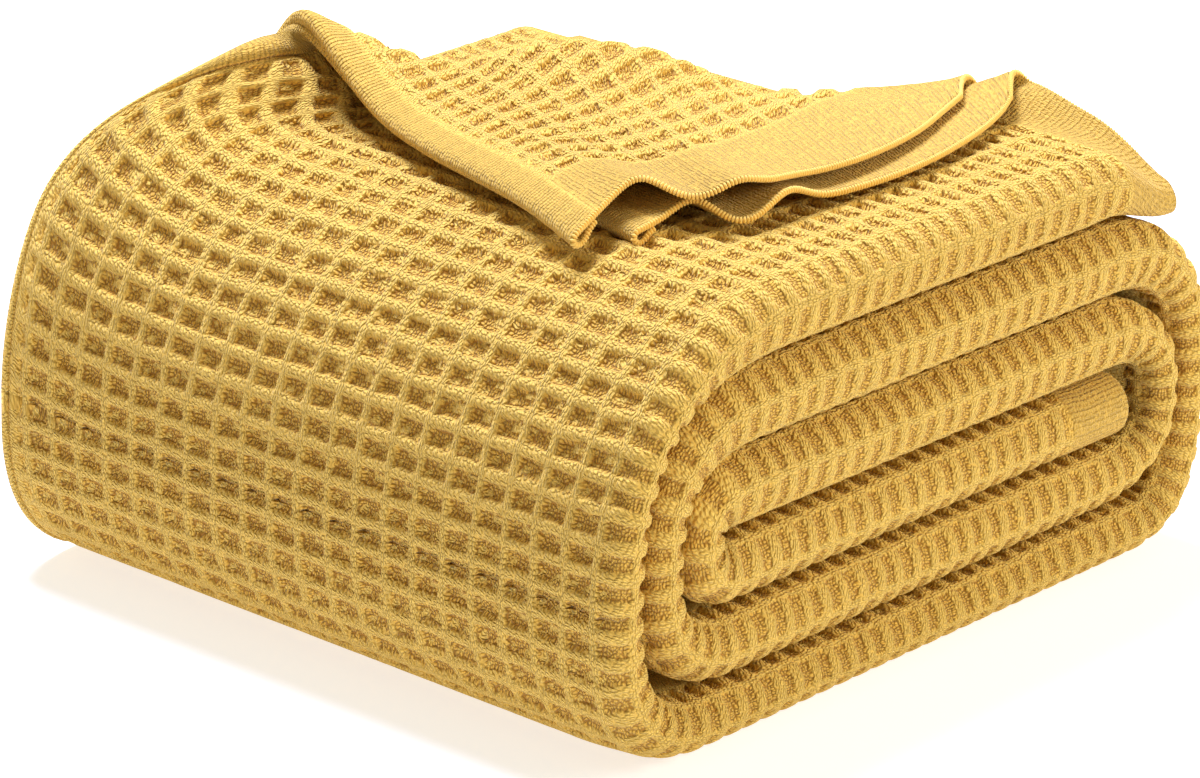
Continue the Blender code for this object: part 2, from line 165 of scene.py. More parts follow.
# Length of a stitch along the run and across it
LENGTHWISE_STITCH = (1.6 * YARN, 0.9 * YARN)
CROSSWISE_STITCH = (0.95 * YARN, 1.7 * YARN)
CROSSED_STITCH = (1.1 * YARN, 0.95 * YARN)
STITCH_SLANT = 0.40
STITCH_UNEVENNESS = 0.65
STITCH_EDGE = (0.68, 0.12)
FRAY = 1.2  # of a ridge's foot, against the yarns' wander
SIDE_RIB = 0.0014
SIDE_RIB_EDGE = (1.0, 0.35)
SIDE_RIB_STITCHES = 0.45
END_RIB = 0.0016
END_RIB_EDGE = (1.0, 0.2)
END_RIB_STITCHES = 0.5
BUMP_HEIGHT = 0.0009
PIT_BUMP = -0.9
RIDGE_COLOUR = (0.92, 0.580, 0.108, 1.0)
# Painted shade in the pits: the floor of each pit takes this darker, more orange colour than the
# ridges.
PIT_PAINTED_SHADE_COLOUR = (0.87, 0.490, 0.070, 1.0)
HEM_COLOUR = (0.68, 0.405, 0.068, 1.0)
# Painted shade between the yarns: this dark colour fills the hollows between stitches, more on a
# pit's floor than on a ridge.
YARN_GAP_SHADE_COLOUR = (0.28, 0.095, 0.007, 1.0)
YARN_GAP_SHADE_HEIGHTS = (0.55, 0.15)  # heights, where the dark shows not at all and fully
YARN_GAP_SHADE_ON_RIDGE = 0.22
YARN_GAP_SHADE_IN_PIT = 0.52  # more than on a ridge
COTTON_LOOK = {
    "Roughness": 0.92,
    "Sheen Weight": 0.20,
    "Sheen Roughness": 0.6,
    "Sheen Tint": (1.0, 0.86, 0.55, 1.0),
    "Specular IOR Level": 0.15,
}
NOISE_DETAIL = 2.0
MIX_SOCKETS = {"FLOAT": (2, 3, 0), "RGBA": (6, 7, 2)}  # first input, second input and output


class Nodes:
    """Adds nodes to a tree: inputs are given in order, as sockets to link or as values."""

    def __init__(self, tree):
        self.tree = tree

    def add(self, kind, *inputs, **settings):
        node = self.tree.nodes.new(kind)
        for name, value in settings.items():
            setattr(node, name, value)
        for socket, value in zip(node.inputs, inputs):
            self.put(socket, value)
        return node

    def named(self, kind, inputs, **settings):
        """Adds a node with its inputs given by name, and returns its first output."""
        node = self.add(kind, **settings)
        for name, value in inputs.items():
            self.put(node.inputs[name], value)
        return node.outputs[0]

    def put(self, socket, value):
        if isinstance(value, bpy.types.NodeSocket):
            self.tree.links.new(value, socket)
        elif value is not None:
            socket.default_value = value

    def math(self, operation, *inputs):
        return self.add("ShaderNodeMath", *inputs, operation=operation).outputs[0]

    def vector(self, operation, *inputs):
        return self.add("ShaderNodeVectorMath", *inputs, operation=operation).outputs[0]

    def split(self, value):
        return self.add("ShaderNodeSeparateXYZ", value).outputs

    def mix(self, factor, first, second, kind="FLOAT"):
        node = self.add("ShaderNodeMix", factor, data_type=kind)
        first_socket, second_socket, result = MIX_SOCKETS[kind]
        self.put(node.inputs[first_socket], first)
        self.put(node.inputs[second_socket], second)
        return node.outputs[result]

    def step(self, value, start, end):
        """Smooth step of value, from 0 at start to 1 at end."""
        given = {"Value": value, "From Min": start, "From Max": end}
        return self.named("ShaderNodeMapRange", given, interpolation_type="SMOOTHSTEP")

    def noise(self, place, scale, colour=True, seed=None, **settings):
        node = self.add("ShaderNodeTexNoise", place, seed, scale, NOISE_DETAIL, **settings)
        return node.outputs["Color" if colour else 0]

    def to_border(self, value):
        """0 in the middle of each whole number's step, 1 at its borders."""
        part = self.math("FRACT", value)
        return self.math("ABSOLUTE", self.math("MULTIPLY_ADD", part, 2.0, -1.0))


def weave(nodes, thread, bent, cell_run, cell_across, wander):
    """How near a place in the cloth is to the ridges across and along the run, from 0 in the
    middle of a pit to 1 on the ridge, and a share of unevenness."""
    run, across, turn = nodes.split(thread)
    sway = nodes.split(nodes.noise(thread, WANDER_SCALE, noise_dimensions="4D", seed=WANDER_SEED))

    def to_ridge(place, size, swayed, in_bend):
        wandered = nodes.math("MULTIPLY_ADD", nodes.math("SUBTRACT", swayed, 0.5), wander, place)
        from_middle = nodes.to_border(nodes.math("ADD", nodes.math("DIVIDE", wandered, size), turn))
        return nodes.math("MULTIPLY_ADD", bent, in_bend, from_middle)

    to_across_ridge = to_ridge(run, cell_run, sway[0], ACROSS_RIDGE_IN_BEND)
    to_along_ridge = to_ridge(across, cell_across, sway[1], ALONG_RIDGE_IN_BEND)
    return to_across_ridge, to_along_ridge, sway[2]


def cotton():
    material = new_material("mustard_cotton", COTTON_LOOK)
    nodes = Nodes(material.node_tree)
    shader = material.node_tree.nodes["Principled BSDF"]

    def attribute(name, output="Fac"):
        return nodes.add("ShaderNodeAttribute", attribute_name=name).outputs[output]

    # Yarns wander a little, so every coordinate is shifted by noise first
    place = nodes.add("ShaderNodeUVMap", uv_map="cloth").outputs[0]
    scatter = nodes.noise(place, YARN_WANDER_SCALE, noise_dimensions="2D")
    shift = nodes.vector("SUBTRACT", scatter, (0.5, 0.5, 0.5))
    shift = nodes.vector("SCALE", shift, None, None, YARN_WANDER)
    moved = nodes.vector("ADD", place, shift)
    frayed = nodes.vector("MULTIPLY_ADD", shift, (FRAY, FRAY, 0.0), attribute("thread", "Vector"))

    # Pits between the ridges, crisper than the mesh can have them
    bent = attribute("bent")
    to_across_ridge, to_along_ridge, _ = weave(nodes, frayed, bent, CELL_RUN, CELL_ACROSS, WANDER)
    along_ridge = nodes.step(to_along_ridge, *ALONG_RIDGE_FOOT)
    across_ridge = nodes.step(to_across_ridge, *ACROSS_RIDGE_FOOT)
    floor_of_pit = nodes.math("SUBTRACT", 1.0, nodes.math("MAXIMUM", across_ridge, along_ridge))
    # A bend makes each pit shallower in the bump and paler in its painted shade.
    unstretched = nodes.math("MULTIPLY_ADD", bent, -PIT_PALES_IN_BEND, 1.0)
    full_pit = nodes.math("MULTIPLY", floor_of_pit, attribute("waffle"))
    pit = nodes.math("MULTIPLY", full_pit, unstretched)

    def stitches(size, slant=0.0):
        """Height of rounded stitches of yarn, each about this long along the run and across."""
        given = {"Vector": moved, "Angle": slant}
        slanted = nodes.named("ShaderNodeVectorRotate", given, rotation_type="Z_AXIS")
        scaled = nodes.vector("MULTIPLY", slanted, (1.0 / size[0], 1.0 / size[1], 1.0))
        given = {"Vector": scaled, "Scale": 1.0, "Randomness": STITCH_UNEVENNESS}
        distance = nodes.named("ShaderNodeTexVoronoi", given, voronoi_dimensions="2D", feature="F1")
        return nodes.step(distance, *STITCH_EDGE)

    def ribs(place, size, edge):
        return nodes.step(nodes.to_border(nodes.math("DIVIDE", place, size)), *edge)

    # Stitches lie along their ridge, and cross one another on the floor of a pit
    lengthwise = stitches(LENGTHWISE_STITCH)
    crossed = stitches(CROSSED_STITCH)
    on_ridge = nodes.mix(along_ridge, stitches(CROSSWISE_STITCH, STITCH_SLANT), lengthwise)
    woven = nodes.mix(pit, on_ridge, crossed)

    # The side hems are ribbed across, and the end hems have fine ribs that run to their edge
    side_hem, end_hem, _ = nodes.split(attribute("hems", "Vector"))
    place_run, place_across, _ = nodes.split(moved)
    side_ribs = nodes.mix(SIDE_RIB_STITCHES, ribs(place_run, SIDE_RIB, SIDE_RIB_EDGE), lengthwise)
    end_ribs = nodes.mix(END_RIB_STITCHES, ribs(place_across, END_RIB, END_RIB_EDGE), crossed)
    height = nodes.mix(end_hem, nodes.mix(side_hem, woven, side_ribs), end_ribs)

    sunk = nodes.math("MULTIPLY_ADD", pit, PIT_BUMP, height)
    given = {"Strength": 1.0, "Distance": BUMP_HEIGHT, "Height": sunk}
    nodes.put(shader.inputs["Normal"], nodes.named("ShaderNodeBump", given))

    plain = nodes.mix(nodes.math("MAXIMUM", side_hem, end_hem), RIDGE_COLOUR, HEM_COLOUR, "RGBA")
    # Painted shade: the colour darkens towards the floor of each pit.
    colour = nodes.mix(pit, plain, PIT_PAINTED_SHADE_COLOUR, "RGBA")
    # Painted shade between the yarns: it is strongest where the stitches' height is low, and
    # heaviest in the pits.
    deepest_yarn_gap_shade = nodes.math("MULTIPLY_ADD", pit, YARN_GAP_SHADE_IN_PIT, YARN_GAP_SHADE_ON_RIDGE)
    yarn_gap_shade = nodes.math("MULTIPLY", nodes.step(height, *YARN_GAP_SHADE_HEIGHTS), deepest_yarn_gap_shade)
    nodes.put(shader.inputs["Base Color"], nodes.mix(yarn_gap_shade, colour, YARN_GAP_SHADE_COLOUR, "RGBA"))
    return material


COTTON = cotton()


# ---------------------------------------------------------------- the roll
# The cloth's middle line, as seen on the end of the roll: flat bands joined by bends. Each
# band is the whole blanket folded into four, and bulges where the photograph's one does.

INNER_END_X = 0.106
FREE_END_X = 0.133
# Height of each band's middle and its thickness, from the inner end to the free end
BANDS = (
    (0.0602, 0.0225),
    (0.0857, 0.0250),
    (0.0355, 0.0222),
    (0.1123, 0.0258),
    (0.0111, 0.0222),
    (0.1397, 0.0255),
)
# Side, x of the middle, height, lower reach, upper reach and thickness of each bend
BENDS = (
    (-1, -0.1055, 0.0735, 0.015, 0.017, 0.0185),
    (1, 0.1310, 0.0600, 0.034, 0.034, 0.0150),
    (-1, -0.1247, 0.0690, 0.034, 0.048, 0.0172),
    (1, 0.1468, 0.0620, 0.030, 0.048, 0.0150),
    (-1, -0.1430, 0.0610, 0.040, 0.082, 0.0170),
)
SQUARENESS = 2.5  # of a bend's quarters, 2 being an ellipse
NARROWS_FROM = 0.085
FREE_END_BAND = 0.0118
TOP_BEND_THICKNESSES = (0.0170, 0.0160, 0.0152, 0.0158, 0.0200, 0.0250, 0.0255)
QUARTER_POINTS = 60
SAME_POINT = 1e-7
TOP_LINE_BEYOND = 0.1  # of the free end
PATH_BEYOND = 0.06
PATH_STEP = 0.0005
PATH_SMOOTHED_OVER = 15  # steps


def smooth_step(value):
    value = np.clip(value, 0.0, 1.0)
    return value * value * (3.0 - 2.0 * value)


def along(values, where):
    """Value at where (0 to 1) on a smooth line through a row of evenly spaced values."""
    values = np.asarray(values)
    place = np.clip(where, 0.0, 1.0) * (len(values) - 1)
    index = np.minimum(place.astype(int), len(values) - 2)
    part = place - index
    start, end = values[index], values[index + 1]
    before, after = values[np.maximum(index - 1, 0)], values[np.minimum(index + 2, len(values) - 1)]
    bend = 2.0 * before - 5.0 * start + 4.0 * end - after
    twist = 3.0 * (start - end) + after - before
    return start + 0.5 * part * (end - before + part * (bend + part * twist))


def lengths(points):
    return np.r_[0.0, np.cumsum(np.hypot(*np.diff(np.asarray(points), axis=0).T))]


def quarter(bend, band_height, lower, to_extreme):
    """Points of a quarter bend, with its band at one end and the bend's extreme at the other."""
    side, middle_x, height, lower_reach, upper_reach, _ = bend
    reach = lower_reach if lower else upper_reach
    angle = np.linspace(0.0, 0.5 * math.pi, QUARTER_POINTS)
    power = 2.0 / SQUARENESS
    x = middle_x - side * reach * (1.0 - np.sin(angle) ** power)
    z = band_height + (height - band_height) * (1.0 - np.maximum(np.cos(angle), 0.0) ** power)
    points = np.c_[x, z]
    return points if to_extreme else points[::-1]


def roll_path():
    """(x, z, thickness) along the band's middle, from the inner end to the last bend's extreme."""
    parts = [np.array([(INNER_END_X, BANDS[0][0], BANDS[0][1])])]
    for number, bend in enumerate(BENDS):
        height, thick = BANDS[number]
        next_height, next_thick = BANDS[number + 1]
        rising = next_height > height
        into = quarter(bend, height, rising, True)
        out_of = quarter(bend, next_height, not rising, False)
        for points, start, end in ((into, thick, bend[5]), (out_of, bend[5], next_thick)):
            measured = lengths(points)
            share = smooth_step(measured / measured[-1])
            parts.append(np.c_[points, start + (end - start) * share])
    path = np.concatenate(parts[:-1])
    keep = np.r_[True, np.hypot(*np.diff(path[:, :2], axis=0).T) > SAME_POINT]
    return path[keep]


LAST_QUARTER = quarter(BENDS[-1], BANDS[-1][0], False, False)
TOP_LINE = np.r_[LAST_QUARTER, [(FREE_END_X + TOP_LINE_BEYOND, BANDS[-1][0])]]
TOP_PLACES = lengths(TOP_LINE) - lengths(LAST_QUARTER)[-1] + LAST_QUARTER[-1][0]
TOP_START = TOP_PLACES[0]
ROLL = roll_path()
ROLL_RUN = lengths(ROLL[:, :2])
ROLL_LENGTH = ROLL_RUN[-1] + float(np.hypot(*(LAST_QUARTER[0] - ROLL[-1, :2])))
CLOTH_LENGTH = ROLL_LENGTH + FREE_END_X - TOP_START


def top_thickness(place):
    bent = (place - TOP_START) / (LAST_QUARTER[-1][0] - TOP_START)
    narrow = smooth_step((place - NARROWS_FROM) / (FREE_END_X - NARROWS_FROM))
    full = along(TOP_BEND_THICKNESSES, bent)
    return full + (FREE_END_BAND - full) * narrow


def whole_path():
    """run, x, z, outward x, outward z and thickness along the whole cloth, at short steps."""
    run = np.arange(0.0, CLOTH_LENGTH + PATH_BEYOND, PATH_STEP)
    place = np.maximum(run - ROLL_LENGTH + TOP_START, TOP_START)

    def joined(column, top):
        return np.where(run >= ROLL_LENGTH, top, np.interp(run, ROLL_RUN, ROLL[:, column]))

    x, z = (joined(column, np.interp(place, TOP_PLACES, TOP_LINE[:, column])) for column in (0, 1))
    thick = joined(2, top_thickness(place))
    window = np.hanning(PATH_SMOOTHED_OVER)
    smooth = window[1:-1] / window.sum()
    padded = (np.pad(np.gradient(line), len(smooth) // 2, mode="edge") for line in (x, z))
    dx, dz = (np.convolve(line, smooth, "valid") for line in padded)
    size = np.hypot(dx, dz)
    return run, x, z, -dz / size, dx / size, thick


PATH = whole_path()


def on_path(run, column):
    return np.interp(run, PATH[0], PATH[column])


# ---------------------------------------------------------------- the turned-back corner
# The far corner of the first two layers is turned over a slanting fold. The cloth comes up to
# the fold, goes round its curl and comes down on the roll again, its hem rising in ruffles.

WAFFLE_THICK = 0.0028
HEM_THICK = 0.0020
HEM_LENGTH = 0.030
HEM_BLEND = 0.010
NEAR_Y = -0.138
FAR_Y = 0.138
SET_BACK = 0.015  # of the second layer's free end behind the first one's
SET_BACK_REACH = 0.10
FOLD_NEAR_FLAT = (0.133, -0.084)
FOLD_FAR_FLAT = (-0.082, FAR_Y)
FOLD_NEAR = (0.122, -0.082)
FOLD_FAR = (-0.062, 0.106)
CORNERS = ((-0.079, -0.078), (-0.099, -0.070))  # first layer's and second layer's tip
# At even steps from the near to the far end of the fold
CURL_RADII = (0.0032, 0.0030, 0.0030, 0.0032, 0.0045, 0.0060, 0.0055, 0.0065, 0.0080)
FOLD_LIFTS = (0.0125, -0.0010, -0.0055, -0.0040, 0.0060, 0.0056, -0.0005, 0.0080, 0.0210)
LIFT_REACHES = (0.020, 0.020, 0.020, 0.020, 0.020, 0.020, 0.024, 0.036, 0.054)
PULL_REACH = 0.024
GATHER_REACH = 0.035
LIE_CLEAR = 0.0010
HEM_CLEAR = 0.0025
LIE_STEP = 0.0042
SETTLE = 0.040
BULGE_POWER = 1.5
HEM_BULGES = (
    (0.0, 0.002, 0.026, 0.027, 0.033, 0.036, 0.033, 0.022, 0.0),
    (0.0, -0.003, 0.020, 0.036, 0.038, 0.041, 0.035, 0.015, 0.0),
)
RUFFLES = (((0.14, 0.0050), (0.35, 0.0055)), ((0.19, 0.0012), (0.44, 0.0020)))
RUFFLE_WIDTH = 0.06
RUFFLE_REACH = 0.030
HEM_DROP = 0.0145
DROP_START = 0.095
DROP_LENGTH = 0.038
DROP_WIDTH = 0.034
LEAST_ROOM = 0.0035
SURFACE_POINTS = 200
SURFACE_BEYOND = 0.05

FLAT_FOLD = np.subtract(FOLD_FAR_FLAT, FOLD_NEAR_FLAT)
FLAT_ALONG = FLAT_FOLD / np.hypot(*FLAT_FOLD)
FLAT_OUT = np.array((FLAT_ALONG[1], -FLAT_ALONG[0]))
FOLD = np.subtract(FOLD_FAR, FOLD_NEAR)
FOLD_OUT = np.array((FOLD[1], -FOLD[0])) / np.hypot(*FOLD)


def cloth_thickness(place):
    into = smooth_step((FREE_END_X - HEM_LENGTH + HEM_BLEND - place) / HEM_BLEND)
    return HEM_THICK + (WAFFLE_THICK - HEM_THICK) * into


def top_pitch(place):
    return (top_thickness(place) - cloth_thickness(place)) / 3.0


def top_place(place, offset):
    """x and z of points of the top band at places along it, offset layers' pitches outward."""
    run = place - TOP_START + ROLL_LENGTH
    x, z, out_x, out_z = (on_path(run, column) for column in (1, 2, 3, 4))
    rise = top_pitch(place) * offset
    return x + out_x * rise, z + out_z * rise


def flat_place(x, y):
    """Share along the fold and distance past it of points of the cloth laid flat."""
    dx, dy = x - FOLD_NEAR_FLAT[0], y - FOLD_NEAR_FLAT[1]
    share = (dx * FLAT_ALONG[0] + dy * FLAT_ALONG[1]) / np.hypot(*FLAT_FOLD)
    return share, dx * FLAT_OUT[0] + dy * FLAT_OUT[1]


def lift_at(x, y):
    """Height of the cloth above the plain band in front of the fold."""
    dx, dy = x - FOLD_NEAR[0], y - FOLD_NEAR[1]
    share = (dx * FOLD[0] + dy * FOLD[1]) / float(FOLD @ FOLD)
    before = np.minimum(dx * FOLD_OUT[0] + dy * FOLD_OUT[1], 0.0)
    return along(FOLD_LIFTS, share) * np.exp(-((before / along(LIFT_REACHES, share)) ** 2))


def near_free_end(x):
    return smooth_step((x - DROP_START) / DROP_LENGTH)


def drop_at(x, y):
    near = 1.0 - smooth_step((y - NEAR_Y) / DROP_WIDTH)
    return HEM_DROP * near * near_free_end(x)


SURFACE_PLACES = np.linspace(TOP_START, FREE_END_X + SURFACE_BEYOND, SURFACE_POINTS)
SURFACE = top_place(SURFACE_PLACES, 1.5)


def rest_height(x, y):
    """Middle of the first layer under a plan point."""
    return np.interp(x, *SURFACE) + lift_at(x, y) - drop_at(x, y)


def fold_base(share):
    x, y = FOLD_NEAR[0] + share * FOLD[0], FOLD_NEAR[1] + share * FOLD[1]
    return np.stack((x, y, rest_height(x, y)), axis=-1)


def fold_unmoved(share):
    place, y = FOLD_NEAR_FLAT[0] + share * FLAT_FOLD[0], FOLD_NEAR_FLAT[1] + share * FLAT_FOLD[1]
    x, z = top_place(place, 1.5)
    return np.stack((x, y, z), axis=-1)


def hem_place(layer, y):
    """Place along the top band of a layer's free end."""
    return FREE_END_X - SET_BACK * smooth_step((y - NEAR_Y) / SET_BACK_REACH) * (layer - 1)


def ruffle(layer, hem_share, from_hem):
    height = 0.0
    for waves in RUFFLES[:layer]:
        for place, rise in waves:
            height = height + rise * np.exp(-(((hem_share - place) / RUFFLE_WIDTH) ** 2))
    return height * np.exp(-from_hem / RUFFLE_REACH)


def turned_direction(layer):
    """Way that the turned cloth takes over the roll, for each metre of cloth past its curl."""
    share, past = flat_place(hem_place(layer, FAR_Y), FAR_Y)
    room = past - math.pi * along(CURL_RADII, share)
    return (np.array(CORNERS[layer - 1]) - fold_base(share)[:2]) / room


TURNED_DIRECTIONS = (turned_direction(1), turned_direction(2))


def before_fold(layer, place, y, share, past):
    x, z = top_place(place, 1.5 if layer == 1 else 0.5)
    pull = fold_base(share) - fold_unmoved(share)
    plan_fade = np.exp(-((past / PULL_REACH) ** 2))
    rise_fade = np.exp(-((past / along(LIFT_REACHES, share)) ** 2))
    z = z + pull[..., 2] * rise_fade - drop_at(x, y) * (1.0 - rise_fade)
    if layer == 2:
        z = z + (top_pitch(place) - LIE_STEP) * np.exp(-((past / GATHER_REACH) ** 2))
    return np.stack((x + pull[..., 0] * plan_fade, y + pull[..., 1] * plan_fade, z), axis=-1)


def past_fold(layer, place, y, share, past):
    radius = along(CURL_RADII, share)
    turn = np.clip(past / radius, 0.0, math.pi)
    own_radius = radius + LIE_STEP * (layer - 1)
    base = fold_base(share)
    plan = base[..., :2] + FOLD_OUT * (own_radius * np.sin(turn))[..., None]
    curl_height = base[..., 2] + radius - own_radius * np.cos(turn)
    on = np.maximum(past - math.pi * radius, 0.0)
    plan = plan + TURNED_DIRECTIONS[layer - 1] * on[..., None]
    hem_share = (FAR_Y - y) / (FAR_Y - FOLD_NEAR_FLAT[1])
    hem = hem_place(layer, y)
    laid_from = place - on / FLAT_OUT[0]
    to_hem = np.clip((place - laid_from) / np.maximum(hem - laid_from, LEAST_ROOM), 0.0, 1.0)
    bulge = along(HEM_BULGES[layer - 1], hem_share) * to_hem**BULGE_POWER
    plan = plan - FOLD_OUT * bulge[..., None]
    lying = LIE_STEP * layer + LIE_CLEAR + HEM_CLEAR * to_hem * (layer - 1)
    curled = radius + own_radius
    laid_height = rest_height(plan[..., 0], plan[..., 1]) + lying
    laid_height = laid_height + (curled - lying) * np.exp(-((on / SETTLE) ** 2))
    laid_height = laid_height + ruffle(layer, hem_share, np.maximum(hem - place, 0.0))
    height = np.where(past < math.pi * radius, curl_height, laid_height)
    return np.concatenate((plan, height[..., None]), axis=-1)


def corner_points(layer, place, y):
    """Where the first or second layer of the top band lies, at places along it and at y."""
    share, past = flat_place(place, y)
    flat = before_fold(layer, place, y, share, past)
    turned = past_fold(layer, place, y, share, np.maximum(past, 0.0))
    return np.where((past <= 0.0)[..., None], flat, turned)


# ---------------------------------------------------------------- waffle relief
# The loom draws the cloth into square pits between raised ridges, on both of its faces by
# turns. A node tree sinks them into a plain sheet, which carries its place in the weave.

PIT_DEPTH = 0.0024
LEAST_DEPTH = 0.75  # of the full one, and more by the weave's unevenness
UNEVEN_DEPTH = 0.5
SHALLOWER_IN_BEND = 0.42
# The ridges' feet are wider here than in the look of the cotton, so that the mesh can hold them
SUNK_ACROSS_RIDGE_FOOT = (0.44, 0.72)
SUNK_ALONG_RIDGE_FOOT = (0.59, 0.85)


def geometry_tree(name, inputs):
    """A node tree from geometry to geometry with these inputs and a material, and its inputs."""
    tree = bpy.data.node_groups.new(name, "GeometryNodeTree")
    for title, kind in (("Geometry", "Geometry"), *inputs.items(), ("Material", "Material")):
        tree.interface.new_socket(title, in_out="INPUT", socket_type="NodeSocket" + kind)
    tree.interface.new_socket("Geometry", in_out="OUTPUT", socket_type="NodeSocketGeometry")
    nodes = Nodes(tree)
    return tree, nodes, nodes.add("NodeGroupInput").outputs


def dressed_output(nodes, geometry, material):
    """Ends a tree with the geometry made real and in its material."""
    real = nodes.add("GeometryNodeRealizeInstances", geometry)
    given = {"Geometry": real.outputs[0], "Material": material}
    nodes.add("NodeGroupOutput", nodes.named("GeometryNodeSetMaterial", given))


def named_attribute(nodes, name, kind):
    return nodes.named("GeometryNodeInputNamedAttribute", {"Name": name}, data_type=kind)


def waffle_relief():
    sizes = dict.fromkeys(("Cell run", "Cell across", "Pit depth", "Wander"), "Float")
    tree, nodes, given = geometry_tree("waffle_relief", sizes)
    vectors, shares = ("thread", "outward"), ("waffle", "bent")
    thread, outward = (named_attribute(nodes, name, "FLOAT_VECTOR") for name in vectors)
    waffle, bent = (named_attribute(nodes, name, "FLOAT") for name in shares)
    weave_sizes = (given[name] for name in ("Cell run", "Cell across", "Wander"))
    to_across_ridge, to_along_ridge, unevenness = weave(nodes, thread, bent, *weave_sizes)
    across_ridge = nodes.step(to_across_ridge, *SUNK_ACROSS_RIDGE_FOOT)
    along_ridge = nodes.step(to_along_ridge, *SUNK_ALONG_RIDGE_FOOT)
    open_run = nodes.math("SUBTRACT", 1.0, across_ridge)
    open_across = nodes.math("SUBTRACT", 1.0, along_ridge)
    pit = nodes.math("MULTIPLY", nodes.math("MULTIPLY", open_run, open_across), waffle)
    uneven = nodes.math("MULTIPLY_ADD", unevenness, UNEVEN_DEPTH, LEAST_DEPTH)
    stretched = nodes.math("MULTIPLY_ADD", bent, -SHALLOWER_IN_BEND, 1.0)
    sunk = nodes.math("MULTIPLY", nodes.math("MULTIPLY", pit, given["Pit depth"]), stretched)
    depth = nodes.math("MULTIPLY", nodes.math("MULTIPLY", sunk, uneven), -1.0)
    dip = nodes.vector("SCALE", outward, None, None, depth)
    moved = nodes.named("GeometryNodeSetPosition", {"Geometry": given["Geometry"], "Offset": dip})
    dressed_output(nodes, moved, given["Material"])
    return tree


RELIEF = waffle_relief()


def made_plain(obj, tree, inputs):
    """Runs a node tree on the object and keeps what it makes as the object's own mesh."""
    modifier = obj.modifiers.new("nodes", "NODES")
    modifier.node_group = tree
    for item in tree.interface.items_tree:
        if item.item_type == "SOCKET" and item.in_out == "INPUT" and item.name in inputs:
            modifier[item.identifier] = inputs[item.name]
    seen = obj.evaluated_get(bpy.context.evaluated_depsgraph_get())
    mesh = bpy.data.meshes.new_from_object(seen)
    obj.modifiers.remove(modifier)
    old, obj.data = obj.data, mesh
    bpy.data.meshes.remove(old)
    mesh.name = obj.name


def surface_normals(points):
    along_rows = np.gradient(points, axis=0)
    along_columns = np.gradient(points, axis=1)
    normals = np.cross(along_columns, along_rows)
    return normals / np.maximum(np.linalg.norm(normals, axis=-1), 1e-12)[..., None]


def every(count, step):
    return np.unique(np.r_[np.arange(0, count, step), count - 1])


def cloth_shell(name, sheet, fine="outer", coarse=2, spare=(0, 0)):
    """A closed sheet round a grid of points. One face has all of the grid, the other less of it.

    sheet has an array for each of the grid's: points, places in the cloth (run, across), shares
    of relief, of bending over a fold and of (side hem, end hem), and thickness. Spare rows at
    the grid's start and end only tell how the sheet goes on in the next piece."""
    normals = surface_normals(sheet[0])
    kept_rows = slice(spare[0], len(normals) - spare[1])
    normals = normals[kept_rows]
    middle, thread, waffle, bent, hems, thick = (values[kept_rows] for values in sheet)
    rows, columns = middle.shape[:2]
    side = 1.0 if fine == "outer" else -1.0
    picks = (np.arange(rows), np.arange(columns)), (every(rows, coarse), every(columns, coarse))
    carried = {key: [] for key in ("place", "thread", "outward", "waffle", "bent", "hems")}
    grids = []
    for (row_pick, column_pick), sign in zip(picks, (side, -side)):
        grid = np.ix_(row_pick, column_pick)
        turn = np.full((len(row_pick), len(column_pick)), 0.0 if sign > 0 else 0.5)
        surface = middle[grid] + normals[grid] * (sign * 0.5 * thick[grid])[..., None]
        in_cloth, both_hems = np.dstack((thread[grid], turn)), np.dstack((hems[grid], 0.0 * turn))
        values = surface, in_cloth, normals[grid] * sign, waffle[grid], bent[grid], both_hems
        for gathered, value in zip(carried.values(), values):
            gathered.append(value.reshape(turn.size, -1))
        first = grids[0].size if grids else 0
        grids.append(first + np.arange(turn.size).reshape(turn.shape))
    faces = []
    for grid, sign in zip(grids, (side, -side)):
        a, b, c, d = grid[:-1, :-1], grid[:-1, 1:], grid[1:, 1:], grid[1:, :-1]
        order = (a, b, c, d) if sign > 0 else (a, d, c, b)
        faces += np.stack([corner.ravel() for corner in order], axis=1).tolist()
    rims = []
    for grid, (row_pick, column_pick) in zip(grids, picks):
        edges = grid[0, :], grid[:, -1], grid[-1, ::-1], grid[::-1, 0]
        turned_back = columns - 1 - column_pick[::-1], rows - 1 - row_pick[::-1]
        rims.append(list(zip(edges, (column_pick, row_pick, *turned_back))))
    smooth = [True] * len(faces)
    for (fine_rim, _), (coarse_rim, coarse_at), joined in zip(*rims, (spare[0], 0, spare[1], 0)):
        for j in range(len(coarse_rim) - 1):
            last = coarse_at[j + 1]
            wall = [(fine_rim[i], fine_rim[i + 1], coarse_rim[j]) for i in range(coarse_at[j], last)]
            wall.append((fine_rim[last], coarse_rim[j + 1], coarse_rim[j]))
            faces += wall if side < 0 else [face[::-1] for face in wall]
            smooth += [not joined] * len(wall)
    carried = {key: np.concatenate(values) for key, values in carried.items()}
    faces = [tuple(int(corner) for corner in face) for face in faces]
    obj = new_object(name, carried.pop("place").tolist(), faces=faces, **carried)
    mesh = obj.data
    mesh.polygons.foreach_set("use_smooth", smooth)
    layer = mesh.uv_layers.new(name="cloth")
    corners = np.empty(len(mesh.loops), dtype=int)
    mesh.loops.foreach_get("vertex_index", corners)
    layer.data.foreach_set("uv", carried["thread"][corners, :2].ravel())
    sizes = {"Cell run": CELL_RUN, "Cell across": CELL_ACROSS, "Pit depth": PIT_DEPTH}
    made_plain(obj, RELIEF, {**sizes, "Wander": WANDER, "Material": COTTON})
    return obj


# ---------------------------------------------------------------- edge stitches
# The raw end of each layer is overcast with cotton thread: one small loop after another goes
# round the edge, and makes it look finely toothed.

